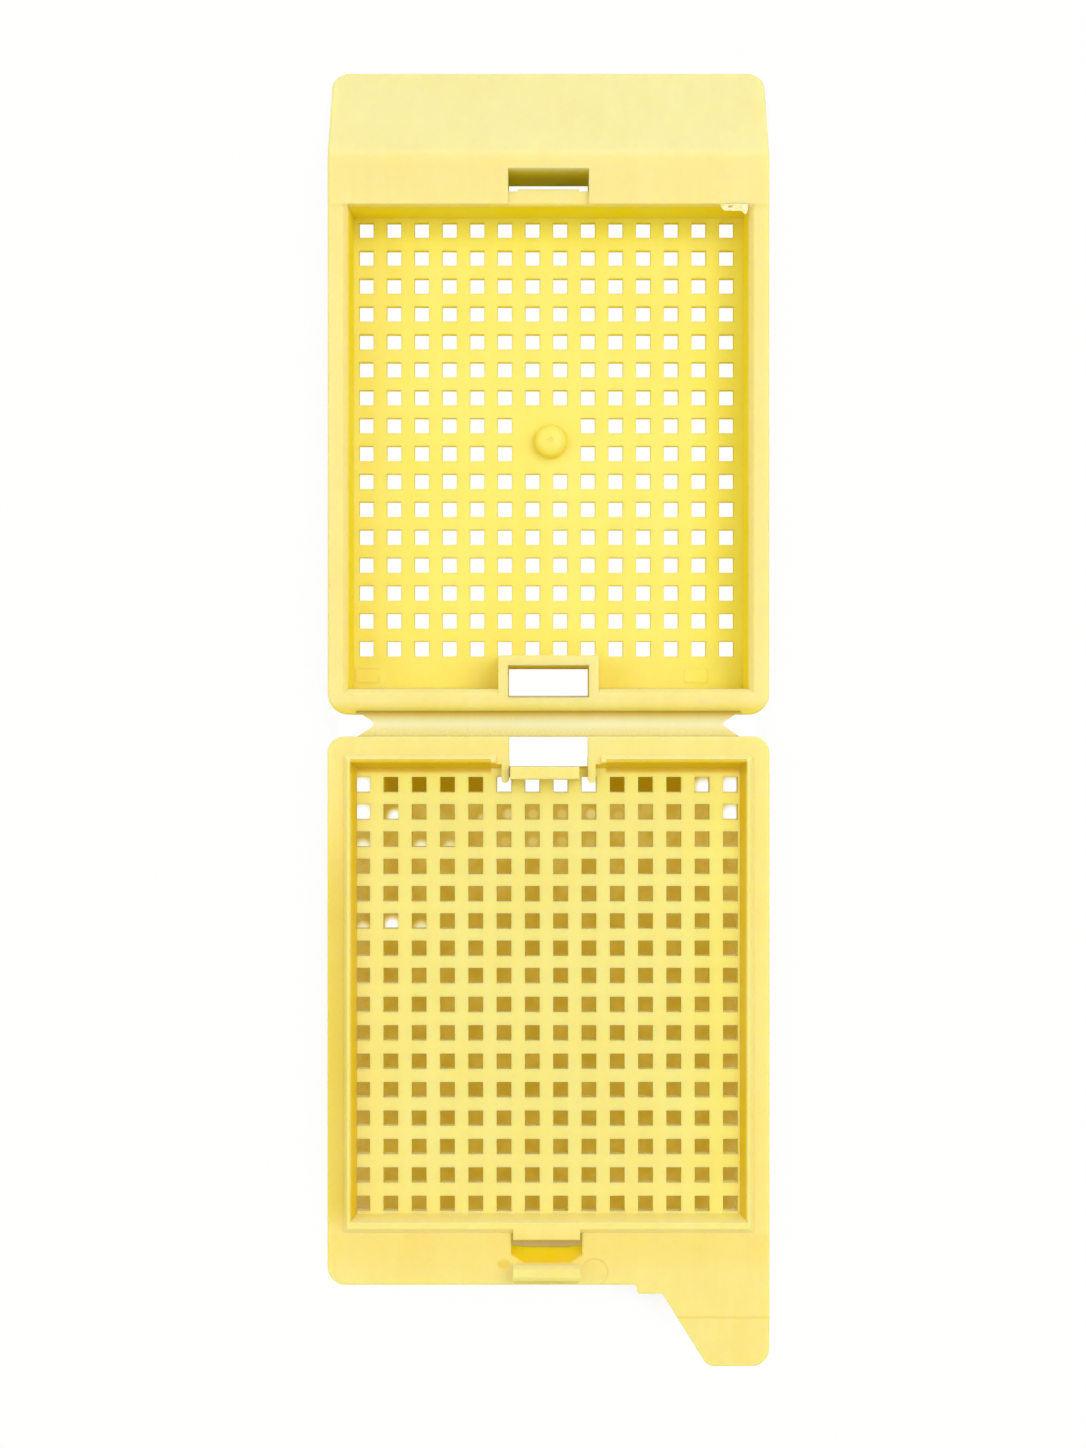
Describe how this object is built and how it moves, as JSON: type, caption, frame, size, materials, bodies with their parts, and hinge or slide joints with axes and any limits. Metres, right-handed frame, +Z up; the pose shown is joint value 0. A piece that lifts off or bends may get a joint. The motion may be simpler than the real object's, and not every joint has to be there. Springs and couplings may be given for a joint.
{
  "type": "tissue cassette",
  "caption": "Perforated tray with a sloping writing face and a film-hinged perforated lid that folds over and snaps shut to hold a tissue sample.",
  "frame": {"origin": "underside of the base tray, on the face that it rests on, midway between the two sides and halfway along the hole grid", "axes": "+Z up out of the open tray, +Y from the hinge to the sloping writing face, +X to the side that carries the lid's finger tab; the lid lies open on the -Y side"},
  "size_m": [0.0282, 0.0833, 0.0071],
  "materials": {
    "moulded_plastic": "satin",
    "hinge_film": "satin, paler where it bends"
  },
  "bodies": {
    "base": {"base": "moulded_plastic", "living_hinge": "hinge_film"},
    "lid": {"lid": "moulded_plastic"}
  },
  "joints": [
    {"name": "lid_hinge", "type": "hinge", "parent": "base", "child": "lid", "pos_m": [0, -0.01854, 0.0052], "axis": [-1, 0, 0], "range_deg": [0, 180]}
  ]
}
